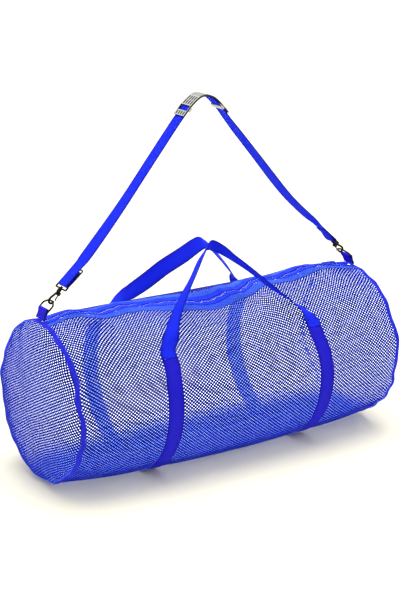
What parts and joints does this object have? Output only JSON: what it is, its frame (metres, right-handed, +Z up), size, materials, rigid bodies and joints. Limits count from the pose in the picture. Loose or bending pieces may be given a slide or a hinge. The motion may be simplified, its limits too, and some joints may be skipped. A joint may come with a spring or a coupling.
{
  "type": "mesh duffel bag",
  "caption": "Round see-through net equipment duffel with a zip along the top, webbing carry handles and a hooked-on shoulder strap with a ribbed pad",
  "frame": {"origin": "middle of the bag's footprint, on the surface it lies on", "axes": "+X along the bag from the end with the slide to the other end, +Y from the front to the back, +Z up"},
  "size_m": [0.914, 0.3894, 0.8189],
  "materials": {
    "net": "knitted polyester net, blue, see-through",
    "webbing": "woven polypropylene webbing, blue",
    "zip_tape": "woven zip tape, blue",
    "zip_plastic": "coil zip, blue",
    "fittings": "black nickel plated wire and casting",
    "slide_plastic": "black moulded plastic",
    "pad": "black ribbed moulded pad with a soft sheen"
  },
  "bodies": {
    "bag": {"body_panel": "net", "end_panel_left": "net", "end_panel_right": "net", "rim_binding_left": "webbing", "rim_binding_right": "webbing", "zip_tape_front": "zip_tape", "zip_tape_back": "zip_tape", "zip_chain": "zip_plastic", "zip_slider": "zip_plastic", "girth_band_left": "webbing", "girth_band_right": "webbing", "handle_front": "webbing", "handle_back": "webbing", "ring_tab_left": "webbing", "ring_tab_right": "webbing", "d_ring_left": "fittings", "d_ring_right": "fittings", "hook_left": "fittings", "hook_right": "fittings", "hook_eye_left": "fittings", "hook_eye_right": "fittings", "shoulder_strap": "webbing", "strap_slide": "slide_plastic", "shoulder_pad": "pad"},
    "gate_left": {"hook_gate_left": "fittings"},
    "gate_right": {"hook_gate_right": "fittings"}
  },
  "joints": [
    {"name": "gate_left_hinge", "type": "hinge", "parent": "bag", "child": "gate_left", "pos_m": [-0.36964, 0, 0.4201], "axis": [0, 1, 0], "range_deg": [0, 20], "stiffness_Nm_per_rad": 0.01, "springref_deg": -11.46},
    {"name": "gate_right_hinge", "type": "hinge", "parent": "bag", "child": "gate_right", "pos_m": [0.36964, 0, 0.4201], "axis": [0, -1, 0], "range_deg": [0, 20], "stiffness_Nm_per_rad": 0.01, "springref_deg": -11.46}
  ]
}
